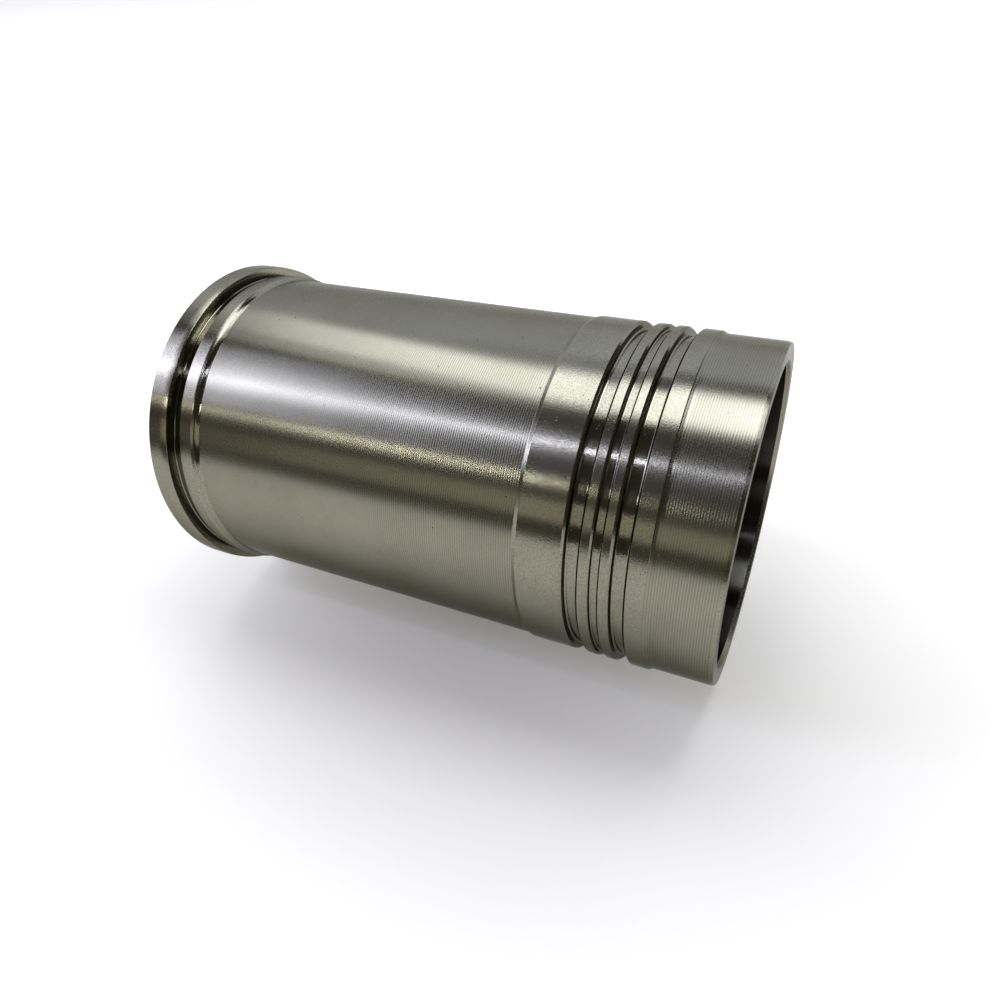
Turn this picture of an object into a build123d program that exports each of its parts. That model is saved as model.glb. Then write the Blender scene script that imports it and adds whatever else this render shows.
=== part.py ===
from build123d import *
import os
from math import acos, asin, cos, degrees, radians, sin

# Wet cylinder liner: one sleeve of grey cast iron, turned outside and honed inside.
# It stands on its lower end at Z = 0 with its axis on Z and its flange on top. Sizes are in millimetres.
overall_length = 212.5
bore_diameter = 105.0
barrel_wall = 6.75
bore_top_chamfer = 0.8
bore_lead_length = 1.4
bore_lead_depth = 0.9

# Tail: the plain end below the seals, a step smaller than the lower belt, with a turned run-out up to it
tail_step = 0.75
tail_length = 22.2
tail_lead_length = 1.2
tail_lead_depth = 0.35
tail_runout_radius = 4.2

# Lower belt: raised over the barrel to locate the liner in the block, with the seal grooves in it
lower_belt_rise = 0.75
pilot_land_length = 5.5
lower_land_length = 2.4
upper_land_length = 2.7
seal_belt_length = 14.7
lead_bevel_length = 1.5

# The two wide grooves take seal rings, and the narrow one between them a crevice ring
wide_groove_width = 4.6
wide_groove_depth = 3.0
wide_groove_corner = 0.75
wide_groove_bevel = 0.75
narrow_groove_width = 2.8
narrow_groove_depth = 2.0
narrow_groove_corner = 0.5
narrow_groove_bevel = 0.6

# Upper belt: raised over the barrel, with a rounded lower edge and a turned run-out down to the barrel
barrel_runout_radius = 2.7
upper_belt_edge_radius = 1.8
upper_belt_rise = 1.35
upper_belt_length = 5.4
upper_belt_chamfer = 0.4

# Flange, standing out over the upper belt, its rim crowned towards the seat, and the hollow relief under it
relief_depth = 1.35
relief_width = 3.6
relief_corner = 0.5
flange_overhang = 3.0
flange_thickness = 8.5
flange_edge_radius = 0.3
flange_crown_radius = 15.0
flange_crown_length = 3.0
flange_top_chamfer = 0.5

bore_radius = bore_diameter / 2
barrel_radius = bore_radius + barrel_wall
lower_belt_radius = barrel_radius + lower_belt_rise
tail_radius = lower_belt_radius - tail_step
upper_belt_radius = barrel_radius + upper_belt_rise
relief_radius = upper_belt_radius - relief_depth
flange_radius = upper_belt_radius + flange_overhang


def runout_angle(radius, rise):
    """Degrees of a turned run-out arc that leaves one diameter tangentially and rises to a larger one."""
    return degrees(acos(1 - rise / radius))


def groove_mouth(width, bevel):
    """Length along the axis of a groove between the outer edges of its two bevels."""
    return width + 2 * bevel


# Heights from the lower end upwards
lower_groove_start = tail_length + pilot_land_length
wide_mouth = groove_mouth(wide_groove_width, wide_groove_bevel)
narrow_mouth = groove_mouth(narrow_groove_width, narrow_groove_bevel)
narrow_groove_start = lower_groove_start + wide_mouth + lower_land_length
upper_groove_start = narrow_groove_start + narrow_mouth + upper_land_length
seal_belt_start = upper_groove_start + wide_mouth
lower_belt_top = seal_belt_start + seal_belt_length

# Heights from the top downwards
flange_seat = overall_length - flange_thickness
upper_belt_top = flange_seat - relief_width
upper_belt_bottom = upper_belt_top - upper_belt_length

tail_runout_angle = runout_angle(tail_runout_radius, tail_step)
tail_runout_start = tail_length - tail_runout_radius * sin(radians(tail_runout_angle))
barrel_runout_reach = barrel_runout_radius + upper_belt_edge_radius
barrel_runout_angle = runout_angle(barrel_runout_reach, upper_belt_rise)
barrel_runout_start = upper_belt_bottom - barrel_runout_reach * sin(radians(barrel_runout_angle))
barrel_runout_slope = (sin(radians(barrel_runout_angle)), cos(radians(barrel_runout_angle)))

# The rim leans in by the crown's angle at the seat edge, and the edge turns the rest of a right angle
flange_crown_angle = degrees(asin(flange_crown_length / flange_crown_radius))
flange_crown_drop = flange_crown_radius * (1 - cos(radians(flange_crown_angle)))
flange_edge_angle = 90 - flange_crown_angle
flange_edge_slope = (cos(radians(flange_edge_angle)), sin(radians(flange_edge_angle)))
seat_outer_radius = flange_radius - flange_crown_drop - flange_edge_radius * sin(radians(flange_edge_angle))


def seal_groove(start, width, depth, corner, bevel):
    """Half section of a ring groove: straight walls, rounded floor corners and bevelled edges."""
    floor_radius = lower_belt_radius - depth
    wall_radius = lower_belt_radius - bevel
    outside_radius = lower_belt_radius + bevel
    low_wall = start + bevel
    high_wall = low_wall + width
    with BuildSketch(Plane.XZ) as groove:
        with BuildLine():
            Polyline(
                (outside_radius, start - bevel),
                (wall_radius, low_wall),
                (floor_radius, low_wall),
                (floor_radius, high_wall),
                (wall_radius, high_wall),
                (outside_radius, high_wall + 2 * bevel),
                close=True,
            )
        make_face()
        fillet(groove.vertices().group_by(Axis.X)[0], radius=corner)
    return groove.sketch


with BuildPart() as cylinder_liner:
    with BuildSketch(Plane.XZ) as section:
        with BuildLine():
            lower_end = Polyline(
                (bore_radius, bore_lead_length),
                (bore_radius + bore_lead_depth, 0),
                (tail_radius - tail_lead_depth, 0),
                (tail_radius, tail_lead_length),
                (tail_radius, tail_runout_start),
            )
            tail_runout = JernArc(lower_end @ 1, (0, 1), tail_runout_radius, -tail_runout_angle)
            barrel = Polyline(
                tail_runout @ 1,
                (lower_belt_radius, lower_belt_top),
                (barrel_radius, lower_belt_top + lead_bevel_length),
                (barrel_radius, barrel_runout_start),
            )
            barrel_runout = JernArc(barrel @ 1, (0, 1), barrel_runout_radius, -barrel_runout_angle)
            upper_belt_edge = JernArc(
                barrel_runout @ 1, barrel_runout_slope, upper_belt_edge_radius, barrel_runout_angle
            )
            upper_belt = Polyline(
                upper_belt_edge @ 1,
                (upper_belt_radius, upper_belt_top - upper_belt_chamfer),
                (upper_belt_radius - upper_belt_chamfer, upper_belt_top),
                (relief_radius, upper_belt_top),
                (relief_radius, flange_seat - relief_corner),
            )
            relief_fillet = JernArc(upper_belt @ 1, (0, 1), relief_corner, -90)
            seat = Line(relief_fillet @ 1, (seat_outer_radius, flange_seat))
            seat_edge = JernArc(seat @ 1, (1, 0), flange_edge_radius, flange_edge_angle)
            flange_crown = JernArc(seat_edge @ 1, flange_edge_slope, flange_crown_radius, flange_crown_angle)
            Polyline(
                flange_crown @ 1,
                (flange_radius, overall_length - flange_top_chamfer),
                (flange_radius - flange_top_chamfer, overall_length),
                (bore_radius + bore_top_chamfer, overall_length),
                (bore_radius, overall_length - bore_top_chamfer),
                lower_end @ 0,
            )
        make_face()
    revolve(axis=Axis.Z)

    for start in (lower_groove_start, upper_groove_start):
        wide_groove = seal_groove(
            start, wide_groove_width, wide_groove_depth, wide_groove_corner, wide_groove_bevel
        )
        revolve(wide_groove, axis=Axis.Z, mode=Mode.SUBTRACT)
    narrow_groove = seal_groove(
        narrow_groove_start,
        narrow_groove_width,
        narrow_groove_depth,
        narrow_groove_corner,
        narrow_groove_bevel,
    )
    revolve(narrow_groove, axis=Axis.Z, mode=Mode.SUBTRACT)

cylinder_liner.part.label = "cylinder_liner"

os.makedirs("parts", exist_ok=True)
export_step(cylinder_liner.part, "parts/cylinder_liner.step")
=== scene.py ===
import math

import bpy
import numpy as np
from mathutils import Matrix, Vector


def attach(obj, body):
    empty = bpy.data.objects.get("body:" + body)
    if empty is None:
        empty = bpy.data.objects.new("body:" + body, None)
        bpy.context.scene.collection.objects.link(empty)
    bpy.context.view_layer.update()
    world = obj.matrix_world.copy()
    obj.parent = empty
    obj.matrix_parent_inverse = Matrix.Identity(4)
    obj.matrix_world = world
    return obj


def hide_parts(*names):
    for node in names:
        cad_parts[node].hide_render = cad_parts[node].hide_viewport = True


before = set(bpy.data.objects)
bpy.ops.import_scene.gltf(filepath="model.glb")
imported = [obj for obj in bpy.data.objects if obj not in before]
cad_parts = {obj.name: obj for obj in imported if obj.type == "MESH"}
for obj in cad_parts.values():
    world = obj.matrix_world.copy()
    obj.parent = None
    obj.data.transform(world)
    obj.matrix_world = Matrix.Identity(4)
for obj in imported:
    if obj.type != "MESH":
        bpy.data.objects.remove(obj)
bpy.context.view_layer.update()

# Cylinder liner: one sleeve of grey cast iron, cast by spinning, turned outside and honed inside.
# It stands on its lower end with its flange on top. All its surfaces turn round Z, so one half section
# makes it. Radii and heights of the section are in millimetres.
MM = 0.001
LENGTH, BORE, BARREL, TAIL = 212.5, 52.5, 59.25, 59.25
LOWER_BELT, UPPER_BELT, RELIEF, FLANGE = 60.0, 60.6, 59.25, 63.6
END_INNER, END_OUTER, BORE_LEAD, TAIL_LEAD = 53.4, 58.9, 1.4, 1.2
TAIL_RUNOUT, PILOT = 21.116, 22.2
LOWER_GROOVE, NARROW_GROOVE, UPPER_GROOVE = 27.7, 36.2, 42.9
WIDE_RING = {"width": 4.6, "wall": 59.25, "floor": 57.0, "corner": 0.75}
NARROW_RING = {"width": 2.8, "wall": 59.4, "floor": 58.0, "corner": 0.5}
BEVEL_FOOT, BARREL_FOOT, BARREL_TOP = 63.7, 65.2, 192.921
BELT_FOOT, BELT_EDGE, BELT_TOP, BELT_CHAMFER = 194.244, 200.0, 200.4, 60.2
SEAT, SEAT_EDGE, CROWN = 204.0, 63.248, 205.724
RIM_EDGE, TOP_OUTER, TOP_INNER, BORE_EDGE = 212.0, 63.1, 53.3, 211.7
FINE, SOFT = 0.12, 0.2
TAIL_SWEEP, FOOT_SWEEP, BARREL_SWEEP, BELT_SWEEP = 4.0, 0.4, 2.65, 1.75
RELIEF_CORNER, SEAT_ROUND, CROWN_ROUND = 0.5, 0.3, 14.5
TURNED, GROUND, GROOVE, FACED, HONED = range(5)
STEPS_ROUND, STEPS_CORNER = 320, 7


def ring_groove(start, width, wall, floor, corner):
    """Corners of a seal groove from its lower edge up: bevel, wall, rounded floor, wall, bevel.
    The bevels stand at 45 degrees, so each is as long as the wall's edge lies below the belt."""
    bevel = LOWER_BELT - wall
    low = start + bevel
    high = low + width
    return [
        (LOWER_BELT, start, FINE, GROOVE),
        (wall, low, FINE, GROOVE),
        (floor, low, corner, GROOVE),
        (floor, high, corner, GROOVE),
        (wall, high, FINE, GROOVE),
        (LOWER_BELT, high + bevel, FINE, GROUND),
    ]


# Corners of the half section, up the outside and down the bore: radius, height, rounding and the finish
# of the next face
section = [
    (END_OUTER, 0.0, FINE, GROUND),
    (TAIL, TAIL_LEAD, SOFT, TURNED),
    (TAIL, TAIL_RUNOUT, TAIL_SWEEP, TURNED),
    (LOWER_BELT, PILOT, FINE, GROUND),
    *ring_groove(LOWER_GROOVE, **WIDE_RING),
    *ring_groove(NARROW_GROOVE, **NARROW_RING),
    *ring_groove(UPPER_GROOVE, **WIDE_RING),
    (LOWER_BELT, BEVEL_FOOT, SOFT, GROUND),
    (BARREL, BARREL_FOOT, FOOT_SWEEP, TURNED),
    (BARREL, BARREL_TOP, BARREL_SWEEP, GROOVE),
    (UPPER_BELT, BELT_FOOT, BELT_SWEEP, GROUND),
    (UPPER_BELT, BELT_EDGE, FINE, GROUND),
    (BELT_CHAMFER, BELT_TOP, FINE, GROOVE),
    (RELIEF, BELT_TOP, SOFT, GROOVE),
    (RELIEF, SEAT, RELIEF_CORNER, GROOVE),
    (SEAT_EDGE, SEAT, SEAT_ROUND, GROUND),
    (FLANGE, CROWN, CROWN_ROUND, GROUND),
    (FLANGE, RIM_EDGE, FINE, FACED),
    (TOP_OUTER, LENGTH, FINE, FACED),
    (TOP_INNER, LENGTH, FINE, FACED),
    (BORE, BORE_EDGE, FINE, HONED),
    (BORE, BORE_LEAD, SOFT, FACED),
    (END_INNER, 0.0, FINE, FACED),
]


def rounded_section(corners, steps):
    """Rounds each corner of a closed section by an arc that touches both its faces.
    The tangent length is the radius times the tangent of half the turn; the normal turns evenly along it.
    Gives radius, height, normal and finish of every point."""
    table = np.array(corners)
    place, radius, finish = table[:, :2], table[:, 2], table[:, 3].astype(int)
    run = np.roll(place, -1, axis=0) - place
    after = run / np.linalg.norm(run, axis=1, keepdims=True)
    before = np.roll(after, 1, axis=0)
    turn = np.arctan2(
        before[:, 0] * after[:, 1] - before[:, 1] * after[:, 0],
        (before * after).sum(axis=1),
    )
    start = place - before * (radius * np.tan(np.abs(turn) / 2))[:, None]
    heading = np.arctan2(-before[:, 0], before[:, 1])
    angle = heading[:, None] + turn[:, None] * np.linspace(0, 1, steps)
    normal = np.stack([np.cos(angle), np.sin(angle)], axis=-1)
    reach = (np.sign(turn) * radius)[:, None, None]
    points = start[:, None] + reach * (normal - normal[:, :1])
    return points.reshape(-1, 2), normal.reshape(-1, 2), np.repeat(finish, steps)


def turned_mesh(name, corners, steps_round, steps_corner):
    """Carries the section round Z: x and y are radius times cosine and sine, z is the height.
    The normals are the section's own, so long faces shade straight up to their rounded edges."""
    points, normal, finish = rounded_section(corners, steps_corner)
    count = len(points)
    around = np.arange(steps_round) * 2 * np.pi / steps_round
    cos, sin, level = np.cos(around), np.sin(around), np.ones(steps_round)
    radius, height = points.T * MM
    xyz = np.stack([np.outer(radius, cos), np.outer(radius, sin), np.outer(height, level)], -1)
    out, up = normal.T
    facing = np.stack([np.outer(out, cos), np.outer(out, sin), np.outer(up, level)], -1)
    i, j = np.meshgrid(np.arange(count), np.arange(steps_round), indexing="ij")
    along = np.stack([i, i, i + 1, i + 1], -1).reshape(-1, 4)
    across = np.stack([j, j + 1, j + 1, j], -1).reshape(-1, 4)
    faces = (along % count) * steps_round + across % steps_round
    mesh = bpy.data.meshes.new(name)
    mesh.vertices.add(count * steps_round)
    mesh.vertices.foreach_set("co", xyz.ravel())
    mesh.loops.add(faces.size)
    mesh.loops.foreach_set("vertex_index", faces.ravel())
    mesh.polygons.add(len(faces))
    mesh.polygons.foreach_set("loop_start", np.arange(len(faces)) * 4)
    mesh.update(calc_edges=True)
    mesh.polygons.foreach_set("material_index", np.repeat(finish, steps_round))
    mesh.polygons.foreach_set("use_smooth", np.ones(len(faces), dtype=bool))
    length = np.linalg.norm(np.diff(np.vstack([points, points[:1]]), axis=0), axis=1)
    travel = np.concatenate([[0], np.cumsum(length)]) / length.sum()
    uv = np.stack([across / steps_round, travel[along]], -1)
    mesh.uv_layers.new(name="round_and_along").data.foreach_set("uv", uv.ravel())
    mesh.normals_split_custom_set_from_vertices(facing.reshape(-1, 3))
    mesh.validate()
    return mesh


def put(tree, kind, feeds=None, **settings):
    """Adds a node with its settings. Each feed is a plain value or the output that it comes from."""
    node = tree.nodes.new(kind)
    for name, value in settings.items():
        setattr(node, name, value)
    for name, value in (feeds or {}).items():
        if isinstance(value, bpy.types.NodeSocket):
            tree.links.new(value, node.inputs[name])
        else:
            node.inputs[name].default_value = value
    return node


def sum_of(tree, operation, *values):
    """One step of arithmetic on values or outputs."""
    return put(tree, "ShaderNodeMath", dict(enumerate(values)), operation=operation).outputs[0]


def ramp(tree, value, low, high, start, end, kind="LINEAR"):
    """Carries a value from the range low to high over to the range start to end, straight or in a soft S."""
    feeds = {"Value": value, "From Min": low, "From Max": high, "To Min": start, "To Max": end}
    return put(tree, "ShaderNodeMapRange", feeds, interpolation_type=kind).outputs[0]


def effect(name, inputs, outputs):
    """A node group with named number inputs and outputs, and the place, radius and turn of each point."""
    tree = bpy.data.node_groups.new(name, "ShaderNodeTree")
    for label, value in inputs.items():
        socket = tree.interface.new_socket(label, in_out="INPUT", socket_type="NodeSocketFloat")
        socket.default_value = value
    for label in outputs:
        tree.interface.new_socket(label, in_out="OUTPUT", socket_type="NodeSocketFloat")
    given = tree.nodes.new("NodeGroupInput").outputs
    result = tree.nodes.new("NodeGroupOutput").inputs
    place = tree.nodes.new("ShaderNodeTexCoord").outputs["Object"]
    x, y, z = put(tree, "ShaderNodeSeparateXYZ", {0: place}).outputs
    turn = sum_of(tree, "DIVIDE", sum_of(tree, "ARCTAN2", y, x), 2 * math.pi)
    radius = sum_of(tree, "SQRT", sum_of(tree, "MULTIPLY_ADD", x, x, sum_of(tree, "MULTIPLY", y, y)))
    return tree, given, result, place, radius, turn, z


# Feed marks of the turning tool: a shallow round-topped thread, one turn for each pitch, not quite even.
# They are deep near the lower end and die out higher up, where the cut was finished finer.
feed_marks, given, result, place, radius, turn, z = effect(
    "feed_marks",
    {"Pitch": 0.0008, "Waver": 0.5, "Fade From": 0.1, "Fade To": 0.14, "Least": 0.1},
    ["Height", "Trough"],
)
tree = feed_marks
drift = put(tree, "ShaderNodeTexNoise", {"W": z, "Scale": 260.0, "Detail": 2.0}, noise_dimensions="1D")
uneven = sum_of(tree, "MULTIPLY", sum_of(tree, "SUBTRACT", drift.outputs["Fac"], 0.5), given["Waver"])
thread = sum_of(tree, "ADD", sum_of(tree, "DIVIDE", z, given["Pitch"]), sum_of(tree, "ADD", turn, uneven))
wave = sum_of(tree, "SINE", sum_of(tree, "MULTIPLY", thread, 2 * math.pi))
fade = ramp(tree, z, given["Fade From"], given["Fade To"], 1.0, given["Least"], "SMOOTHSTEP")
faded = sum_of(tree, "MULTIPLY", wave, fade)
tree.links.new(faded, result["Height"])
tree.links.new(sum_of(tree, "MULTIPLY_ADD", faded, -0.5, 0.5), result["Trough"])

# Skin of the bare iron: fine grain where the tool tore the metal, slow tints of handling oil, and open pits.
PIT_CORE, PIT_RIM = 0.06, 0.2
iron_skin, given, result, place, radius, turn, z = effect(
    "iron_skin",
    {"Grain": 2600.0, "Tint": 35.0, "Pits": 420.0, "Pit Share": 0.03},
    ["Grain", "Tint", "Pits"],
)
tree = iron_skin
grain = put(tree, "ShaderNodeTexNoise", {"Vector": place, "Scale": given["Grain"], "Detail": 2.0})
tint = put(
    tree,
    "ShaderNodeTexNoise",
    {"Vector": place, "Scale": given["Tint"], "Detail": 4.0, "Roughness": 0.6},
)
cells = put(tree, "ShaderNodeTexVoronoi", {"Vector": place, "Scale": given["Pits"]})
chance = put(tree, "ShaderNodeSeparateColor", {0: cells.outputs["Color"]}).outputs[0]
kept = sum_of(tree, "LESS_THAN", chance, given["Pit Share"])
spot = ramp(tree, cells.outputs["Distance"], PIT_CORE, PIT_RIM, 1.0, 0.0, "SMOOTHSTEP")
tree.links.new(grain.outputs["Fac"], result["Grain"])
tree.links.new(tint.outputs["Fac"], result["Tint"])
tree.links.new(sum_of(tree, "MULTIPLY", spot, kept), result["Pits"])

# Grinding lines: fine scratches that run a little way round the axis, on a diameter or a flat face.
grinding_lines, given, result, place, radius, turn, z = effect(
    "grinding_lines", {"Fineness": 3200.0, "Length": 40.0}, ["Height", "Trough"]
)
tree = grinding_lines
x, y, _ = put(tree, "ShaderNodeSeparateXYZ", {0: place}).outputs
stretched = put(
    tree,
    "ShaderNodeCombineXYZ",
    {
        "X": sum_of(tree, "MULTIPLY", x, given["Length"]),
        "Y": sum_of(tree, "MULTIPLY", y, given["Length"]),
        "Z": sum_of(tree, "MULTIPLY", sum_of(tree, "ADD", z, radius), given["Fineness"]),
    },
)
lines = put(tree, "ShaderNodeTexNoise", {"Vector": stretched.outputs[0], "Scale": 1.0, "Detail": 2.0})
tree.links.new(lines.outputs["Fac"], result["Height"])
tree.links.new(sum_of(tree, "SUBTRACT", 1.0, lines.outputs["Fac"]), result["Trough"])

# Honing: two sets of stone scratches that climb the bore both ways round and cross each other.
# Each set is three waves whose starts divide the turn evenly, so that the pattern closes on itself.
HONE_PITCHES, HONE_CLIMB, HONE_TONE = (0.0011, 0.0007, 0.0016), 0.132, 0.12
honing, given, result, place, radius, turn, z = effect("honing", {}, ["Height", "Trough"])
tree = honing
scratches = 0.0
for hand in (1, -1):
    for pitch in HONE_PITCHES:
        starts = round(HONE_CLIMB / pitch)
        slant = sum_of(tree, "MULTIPLY", turn, float(hand * starts))
        phase = sum_of(tree, "ADD", sum_of(tree, "DIVIDE", z, pitch), slant)
        ridge = sum_of(tree, "SINE", sum_of(tree, "MULTIPLY", phase, 2 * math.pi))
        scratches = sum_of(tree, "ADD", scratches, ridge)
tree.links.new(sum_of(tree, "DIVIDE", scratches, 2.0 * len(HONE_PITCHES)), result["Height"])
tree.links.new(sum_of(tree, "MULTIPLY_ADD", scratches, -HONE_TONE, 0.5), result["Trough"])

# Finishes of the iron: turned, ground, grooved, faced and honed. The belts are lighter under their specks.
# The bore's iron is about half as bright as the rest: painted shade of the hollow bore.
IRON, BELT_IRON, BORE_IRON_WITH_PAINTED_SHADE = (0.270, 0.264, 0.206), (0.286, 0.279, 0.218), (0.13, 0.127, 0.105)
# Darker colour that the metal takes in the marks' troughs, the oil tints and the specks
DARKENING, PITTED = (0.70, 0.69, 0.67), (0.03, 0.028, 0.024)
EDGE_TINT = (0.4, 0.4, 0.38)
STRETCH, QUARTER_TURN = 0.8, 0.25
OIL_FROM, OIL_TO, OIL_TONE = 0.4, 0.75, 0.36
SPECK_FROM, SPECK_TO = 0.42, 0.62
PIT_DEPTH = 0.00004
GRAIN_DULL, OIL_DULL, PIT_DULL = 0.10, 0.03, 0.3
MIX_FIRST, MIX_SECOND, MIX_RESULT = 6, 7, 2


def mixed(tree, share, first, second):
    """One colour laid over another by a share; each is a plain colour or an output."""
    feeds = {"Factor": share, MIX_FIRST: first, MIX_SECOND: second}
    return put(tree, "ShaderNodeMix", feeds, data_type="RGBA").outputs[MIX_RESULT]


def iron(name, colour, skin_values, marks, mark_values, *, roughness, depth, tone, grain_depth, speck=0.0):
    """Bare cast iron. Its marks run round the axis, so the gloss spreads a quarter turn from them, along it.
    The height is the tool's marks and the grain less the pits; marks, oil, specks and pits darken the metal,
    and grain, oil and pits dull it."""
    darkened = [part * tint for part, tint in zip(colour, DARKENING)]
    material = bpy.data.materials.new(name)
    material.use_nodes = True
    tree = material.node_tree
    shader = tree.nodes["Principled BSDF"]
    shader.inputs["Metallic"].default_value = 1
    shader.inputs["Anisotropic"].default_value = STRETCH
    shader.inputs["Specular Tint"].default_value = (*EDGE_TINT, 1)
    shader.inputs["Anisotropic Rotation"].default_value = QUARTER_TURN
    skin = put(tree, "ShaderNodeGroup", skin_values, node_tree=iron_skin)
    tool = put(tree, "ShaderNodeGroup", mark_values, node_tree=marks)
    grain, tint, pits = skin.outputs["Grain"], skin.outputs["Tint"], skin.outputs["Pits"]
    height = sum_of(tree, "MULTIPLY", tool.outputs["Height"], depth)
    height = sum_of(tree, "MULTIPLY_ADD", grain, grain_depth, height)
    height = sum_of(tree, "MULTIPLY_ADD", pits, -PIT_DEPTH, height)
    bump = put(tree, "ShaderNodeBump", {"Height": height, "Distance": 1.0, "Strength": 1.0})
    tree.links.new(bump.outputs["Normal"], shader.inputs["Normal"])
    oil = ramp(tree, tint, OIL_FROM, OIL_TO, 0.0, OIL_TONE)
    specks = ramp(tree, grain, SPECK_FROM, SPECK_TO, 0.0, speck)
    shaded = sum_of(tree, "MULTIPLY_ADD", tool.outputs["Trough"], tone, oil)
    shaded = sum_of(tree, "ADD", shaded, specks)
    metal = mixed(tree, shaded, (*colour, 1), (*darkened, 1))
    tree.links.new(mixed(tree, pits, metal, (*PITTED, 1)), shader.inputs["Base Color"])
    dull = sum_of(tree, "MULTIPLY_ADD", sum_of(tree, "SUBTRACT", grain, 0.5), GRAIN_DULL, roughness)
    dull = sum_of(tree, "MULTIPLY_ADD", oil, OIL_DULL, dull)
    dull = sum_of(tree, "MULTIPLY_ADD", pits, PIT_DULL, dull)
    tree.links.new(dull, shader.inputs["Roughness"])
    return material


PLAIN_SKIN = {"Grain": 2600.0, "Tint": 35.0, "Pits": 600.0, "Pit Share": 0.015}
TORN_SKIN = {"Grain": 1900.0, "Tint": 35.0, "Pits": 1000.0, "Pit Share": 0.12}
turned_iron = iron(
    "turned_iron", IRON, PLAIN_SKIN, feed_marks, {"Pitch": 0.00081},
    roughness=0.26, depth=0.000012, tone=0.9, grain_depth=0.0000015,
)
ground_iron = iron(
    "ground_iron", BELT_IRON, TORN_SKIN, grinding_lines, {"Fineness": 3200.0},
    roughness=0.22, depth=0.000003, tone=0.3, grain_depth=0.00002, speck=0.6,
)
groove_iron = iron(
    "groove_iron", BELT_IRON, TORN_SKIN, grinding_lines, {"Fineness": 2500.0},
    roughness=0.13, depth=0.000003, tone=0.3, grain_depth=0.000012, speck=0.9,
)
faced_iron = iron(
    "faced_iron", IRON, PLAIN_SKIN, grinding_lines, {"Fineness": 1800.0, "Length": 15.0},
    roughness=0.27, depth=0.000008, tone=0.4, grain_depth=0.000004,
)
# The honed bore takes the darker iron, painted shade of its hollow
honed_iron = iron(
    "honed_iron", BORE_IRON_WITH_PAINTED_SHADE, PLAIN_SKIN, honing, {},
    roughness=0.17, depth=0.000004, tone=0.5, grain_depth=0.000002,
)
liner_mesh = turned_mesh("liner_sleeve", section, STEPS_ROUND, STEPS_CORNER)
for finish in (turned_iron, ground_iron, groove_iron, faced_iron, honed_iron):
    liner_mesh.materials.append(finish)
liner = bpy.data.objects.new("liner_sleeve", liner_mesh)
bpy.context.collection.objects.link(liner)
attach(liner, "root")
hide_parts("cylinder_liner")

# Studio table that the liner lies on: a wide sheet of white paper. It touches the flange rim and the pilot
# land, and is seen from its upper side only.
NEAR_TURN, TABLE_TURN = math.radians(-92), math.radians(47)
near = Vector((math.cos(NEAR_TURN), math.sin(NEAR_TURN), 0))
across = Vector((-math.sin(NEAR_TURN), math.cos(NEAR_TURN), 0))
axis = Vector((0, 0, 1))
table_up = math.cos(TABLE_TURN) * near + math.sin(TABLE_TURN) * across
camera_side = math.sin(TABLE_TURN) * near - math.cos(TABLE_TURN) * across
RIM_TOUCH = SEAT + 1.0
TABLE_HALF, TABLE_END = 6.0, -0.5
slope = (FLANGE - LOWER_BELT) / (RIM_TOUCH - PILOT)
table_along = (axis - slope * table_up).normalized()
table_side = table_up.cross(axis).normalized()
touch = (PILOT * axis - LOWER_BELT * table_up) * MM
table_corners = [
    touch + TABLE_HALF * side * table_side + reach * table_along
    for side, reach in ((-1, TABLE_END), (1, TABLE_END), (1, TABLE_HALF), (-1, TABLE_HALF))
]
table_mesh = bpy.data.meshes.new("paper_table")
table_mesh.from_pydata(table_corners, [], [(0, 1, 2, 3)])
if table_mesh.polygons[0].normal.dot(table_up) < 0:
    table_mesh.flip_normals()
table = bpy.data.objects.new("paper_table", table_mesh)
bpy.context.collection.objects.link(table)
PAPER_SQUEEZE, PAPER_POWER = 0.6, 4.0


def paper(name, colour, glow, shade, reach, centre):
    """White paper. Its matt part takes the lamps' light and the liner's shadow. Its plain glow carries a
    painted
    shadow: the full glow less shade over one plus the fourth power of the distance from a centre in reaches,
    so it is dim at the centre and grows outwards. Along the axis the distance counts for less."""
    material = bpy.data.materials.new(name)
    material.use_nodes = True
    tree = material.node_tree
    tree.nodes.clear()
    place = put(tree, "ShaderNodeTexCoord").outputs["Object"]
    middle = put(tree, "ShaderNodeVectorMath", {0: place, 1: tuple(centre)}, operation="SUBTRACT").outputs[0]
    squeeze = {0: middle, 1: (1, 1, PAPER_SQUEEZE)}
    squeezed = put(tree, "ShaderNodeVectorMath", squeeze, operation="MULTIPLY").outputs[0]
    away = put(tree, "ShaderNodeVectorMath", {0: squeezed}, operation="LENGTH").outputs["Value"]
    spread = sum_of(tree, "POWER", sum_of(tree, "DIVIDE", away, reach), PAPER_POWER)
    # Painted shadow: the glow is dimmed near the centre and recovers outwards
    painted_dim = sum_of(tree, "DIVIDE", shade, sum_of(tree, "ADD", spread, 1.0))
    shine = put(tree, "ShaderNodeEmission", {"Strength": sum_of(tree, "SUBTRACT", glow, painted_dim)})
    matt = put(tree, "ShaderNodeBsdfDiffuse", {"Color": (*colour, 1)})
    white = put(tree, "ShaderNodeAddShader", {0: shine.outputs[0], 1: matt.outputs[0]})
    ray = put(tree, "ShaderNodeLightPath").outputs
    seen = sum_of(tree, "MAXIMUM", ray["Is Camera Ray"], ray["Is Glossy Ray"])
    seen = sum_of(tree, "MAXIMUM", seen, ray["Is Transmission Ray"])
    plain = put(tree, "ShaderNodeMixShader", {0: seen, 1: matt.outputs[0], 2: white.outputs[0]})
    behind = put(tree, "ShaderNodeNewGeometry").outputs["Backfacing"]
    clear = put(tree, "ShaderNodeBsdfTransparent")
    one_sided = put(tree, "ShaderNodeMixShader", {0: behind, 1: plain.outputs[0], 2: clear.outputs[0]})
    put(tree, "ShaderNodeOutputMaterial", {"Surface": one_sided.outputs[0]})
    material.cycles.emission_sampling = "NONE"
    return material
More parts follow.
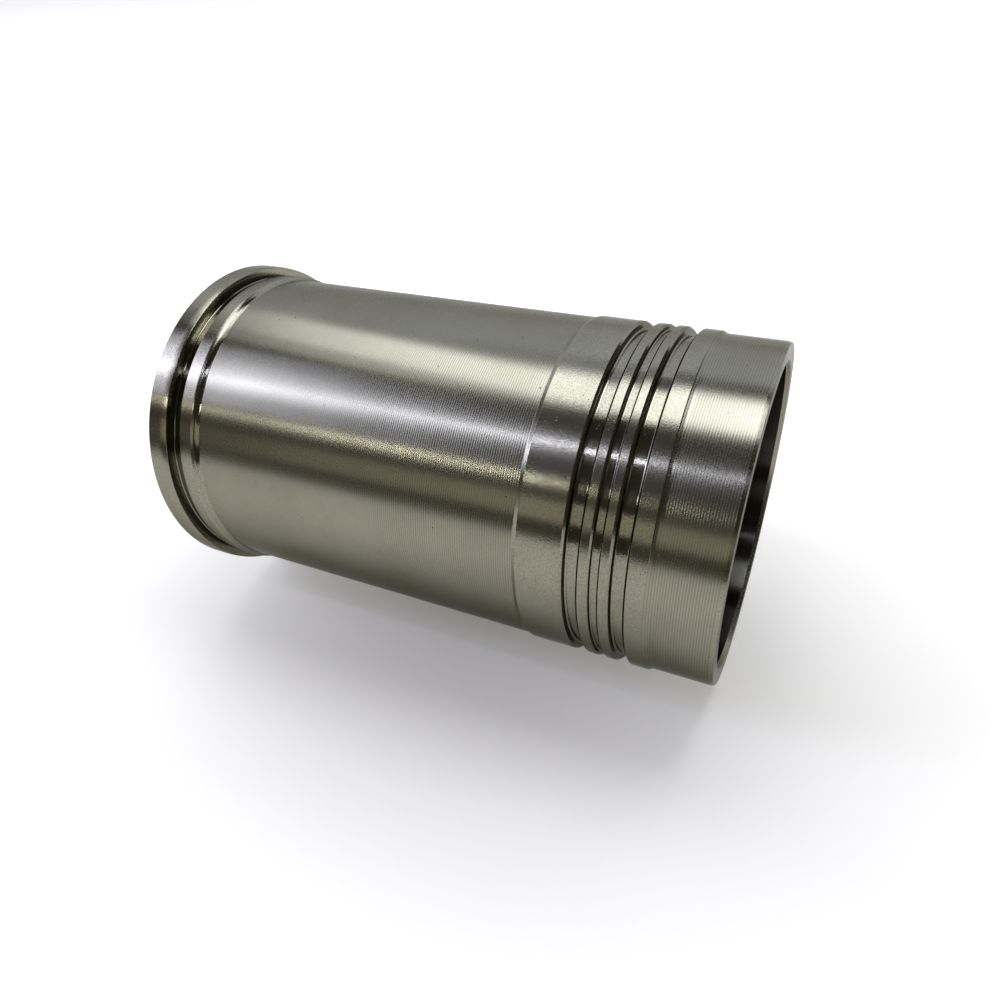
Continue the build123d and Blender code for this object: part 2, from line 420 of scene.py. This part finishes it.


# The painted shadow in the paper's glow is darkest a little to the camera's side of the liner's middle
PAINTED_SHADE_SIDE = 0.048
liner_middle = LENGTH / 2 * MM * axis
painted_shade_centre = liner_middle + PAINTED_SHADE_SIDE * camera_side
# Paper colour, full glow, and the depth and reach of the painted shadow in the glow
TABLE_WHITE, TABLE_GLOW, TABLE_PAINTED_SHADE, TABLE_REACH = (0.66, 0.64, 0.58), 0.71, 0.66, 0.096
table_mesh.materials.append(
    paper("table_paper", TABLE_WHITE, TABLE_GLOW, TABLE_PAINTED_SHADE, TABLE_REACH, painted_shade_centre)
)

# Bench for looking at the liner as it stands: a pale round top with a cove rising behind it.
# Only the camera sees it, and only from above, so it puts nothing into the metal.
BENCH_HUB, BENCH_FLAT, BENCH_COVE, BENCH_WALL = 0.0001, 7.0, 2.0, 9.0
BENCH_STEPS, BENCH_ROUND = 40, 96
# Bench paper colour, full glow, and the depth and reach of the painted shadow in its glow
BENCH_WHITE, BENCH_GLOW, BENCH_PAINTED_SHADE, BENCH_REACH = (0.8, 0.8, 0.8), 0.9, 0.55, 0.25
cove_turn = np.linspace(0, np.pi / 2, BENCH_STEPS)
bench_radius = np.concatenate([[BENCH_HUB], BENCH_FLAT + BENCH_COVE * np.sin(cove_turn), [BENCH_WALL]])
bench_height = np.concatenate([[0], BENCH_COVE - BENCH_COVE * np.cos(cove_turn), [BENCH_WALL]])
bench_turn = np.linspace(0, 2 * np.pi, BENCH_ROUND + 1)
bench_xyz = np.stack(
    [
        np.outer(bench_radius, np.cos(bench_turn)),
        np.outer(bench_radius, np.sin(bench_turn)),
        np.outer(bench_height, np.ones(BENCH_ROUND + 1)),
    ],
    -1,
)
ring, spoke = np.meshgrid(np.arange(len(bench_radius) - 1), np.arange(BENCH_ROUND), indexing="ij")
inner = ring * (BENCH_ROUND + 1) + spoke
outer = inner + BENCH_ROUND + 1
bench_faces = np.stack([inner, outer, outer + 1, inner + 1], -1)
bench_mesh = bpy.data.meshes.new("standing_bench")
bench_mesh.from_pydata(bench_xyz.reshape(-1, 3), [], bench_faces.reshape(-1, 4).tolist())
bench_mesh.polygons.foreach_set("use_smooth", np.ones(len(bench_mesh.polygons), dtype=bool))
# The bench paper's glow is dimmed round the liner's middle: a painted shadow, on top of the liner's own
# shadow in its matt part
bench_mesh.materials.append(
    paper("bench_paper", BENCH_WHITE, BENCH_GLOW, BENCH_PAINTED_SHADE, BENCH_REACH, liner_middle)
)
bench = bpy.data.objects.new("standing_bench", bench_mesh)
bpy.context.collection.objects.link(bench)
bench.visible_glossy = False
bench.visible_diffuse = False
bench.visible_transmission = False
bench.visible_shadow = False

# Studio lamps: flat soft strips and panels round the liner along its axis, out of the camera's sight.
# The cream ones hang close above the lower half, the lavender ones stand high beyond the flange or near it.
# Lamps that overlap each have a distance of their own, because of lamps in one plane only one would shine.
CREAM, STRAW, LAVENDER = (1.0, 1.03, 1.13), (1.03, 1.0, 0.95), (1.0, 1.02, 1.38)
BROWN, GREY = (1.0, 0.94, 0.80), (1.0, 1.04, 1.26)


def strip_lamp(name, distance, turn, spread, bottom, top, radiance, colour, lean=0.0):
    """A flat lamp, so far from the axis, at an angle round it from the camera's side, so wide in degrees.
    It stands between two heights and leans by an angle; its power is its radiance times pi times its area."""
    angle = math.radians(turn)
    out = math.cos(angle) * near + math.sin(angle) * across
    side = axis.cross(out)
    tilt = math.radians(lean)
    wide = math.cos(tilt) * side - math.sin(tilt) * axis
    tall = math.cos(tilt) * axis + math.sin(tilt) * side
    lamp = bpy.data.lights.new(name, "AREA")
    lamp.shape = "RECTANGLE"
    lamp.size = 2 * distance * math.tan(math.radians(spread / 2))
    lamp.size_y = top - bottom
    lamp.energy = radiance * math.pi * lamp.size * lamp.size_y
    lamp.color = colour
    holder = bpy.data.objects.new(name, lamp)
    holder.matrix_world = Matrix((wide, tall, out)).transposed().to_4x4()
    holder.location = distance * out + (bottom + top) / 2 * axis
    holder.visible_camera = False
    bpy.context.collection.objects.link(holder)


# Each line: name, distance, turn, spread, bottom, top, radiance, colour and lean
strip_lamp("cream_under", 0.306, 54.5, 23, -0.1, -0.02, 4.5, CREAM)
strip_lamp("cream_foot", 0.306, 54.5, 25, 0.0, 0.08, 1.9, CREAM)
strip_lamp("cream_low", 0.3, 54, 26, -0.08, 0.19, 1.4, CREAM)
strip_lamp("cream_core", 0.303, 54, 20, -0.08, 0.19, 1.8, CREAM)
strip_lamp("cream_high", 0.3, 58, 29, 0.19, 0.40, 1.3, CREAM, 14)
strip_lamp("cream_tip", 0.303, 59.5, 17, 0.165, 0.36, 1.8, CREAM, 14)
strip_lamp("lavender_top", 1.5, 23, 46, 1.25, 6.0, 2.0, LAVENDER)
strip_lamp("lavender_half", 1.53, 23.5, 25, 1.25, 6.0, 1.6, LAVENDER)
strip_lamp("lavender_inner", 1.56, 21, 14, 1.1, 6.0, 1.1, LAVENDER)
strip_lamp("lavender_tube", 1.59, 20, 5, 1.0, 6.0, 2.8, LAVENDER)
strip_lamp("lavender_near", 0.3, 18, 2.4, 0.07, 0.24, 6.0, LAVENDER)
strip_lamp("lavender_veil", 1.62, 20.5, 14, 0.55, 1.2, 0.8, LAVENDER)
strip_lamp("lavender_heel", 0.3, 18, 1.6, -0.02, 0.07, 0.3, LAVENDER)
strip_lamp("lavender_foot", 0.3, 18, 2, -0.08, -0.02, 14.0, LAVENDER)
strip_lamp("thin_low", 1.5, -5.0, 3.6, 0.69, 0.9, 18.0, STRAW)
strip_lamp("thin_high", 1.5, -5.0, 4.0, 0.9, 2.8, 1.9, STRAW)
strip_lamp("low_wall", 1.5, -23, 14, -0.8, 1.35, 0.58, BROWN, -2)
strip_lamp("back_near", 1.5, 78, 12, 0.35, 2.6, 0.65, GREY)
strip_lamp("back_wall", 1.5, 98, 28, -0.8, 2.6, 0.95, GREY)
strip_lamp("back_corner", 1.5, 131, 38, -0.8, 2.6, 1.05, GREY)

# End panel beyond the flange, face down the axis: it draws the thin white lines on the bevels of the grooves.
PANEL_WIDE, PANEL_TALL, PANEL_RADIANCE = 0.8, 0.7, 6.0
PANEL_PLACE = (-0.6, 0.13, 2.6)


def in_row(parts):
    """A vector from its parts towards the camera's side, across it and along the axis."""
    return parts[0] * near + parts[1] * across + parts[2] * axis


panel = bpy.data.lights.new("end_panel", "AREA")
panel.shape = "RECTANGLE"
panel.size = PANEL_WIDE
panel.size_y = PANEL_TALL
panel.energy = PANEL_RADIANCE * math.pi * PANEL_WIDE * PANEL_TALL
panel.color = LAVENDER
panel_holder = bpy.data.objects.new("end_panel", panel)
panel_holder.matrix_world = Matrix((near, across, axis)).transposed().to_4x4()
panel_holder.location = in_row(PANEL_PLACE)
panel_holder.visible_camera = False
bpy.context.collection.objects.link(panel_holder)

# The dim warm room beyond the lamps
ROOM = (0.058, 0.051, 0.042)
world = bpy.data.worlds.new("studio")
world.use_nodes = True
world.node_tree.nodes["Background"].inputs["Color"].default_value = (*ROOM, 1)
bpy.context.scene.world = world

# Camera: a phone's wide lens close to the liner, on the lower-end side, a little below that end
CAMERA_PLACE = (0.27125, 0.0, -0.01569)
CAMERA_RIGHT, CAMERA_FORWARD = (-0.3700, 0.2046, -0.9063), (-0.9290, -0.0609, 0.3655)
FOCAL_PIXELS, FRAME_PIXELS, SENSOR = 750.7331, 1000, 36.0
CENTRE_PIXEL = (504.4092, 511.0817)
NEAREST = 0.001
forward = in_row(CAMERA_FORWARD).normalized()
camera_up = in_row(CAMERA_RIGHT).normalized().cross(forward).normalized()
right = forward.cross(camera_up)
lens = bpy.data.cameras.new("photo_camera")
lens.sensor_width = SENSOR
lens.lens = SENSOR * FOCAL_PIXELS / FRAME_PIXELS
lens.shift_x = 0.5 - CENTRE_PIXEL[0] / FRAME_PIXELS
lens.shift_y = CENTRE_PIXEL[1] / FRAME_PIXELS - 0.5
lens.clip_start = NEAREST
camera = bpy.data.objects.new("photo_camera", lens)
camera.matrix_world = Matrix((right, camera_up, -forward)).transposed().to_4x4()
camera.location = in_row(CAMERA_PLACE)
bpy.context.collection.objects.link(camera)
bpy.context.scene.camera = camera
bpy.context.scene.view_settings.view_transform = "Standard"
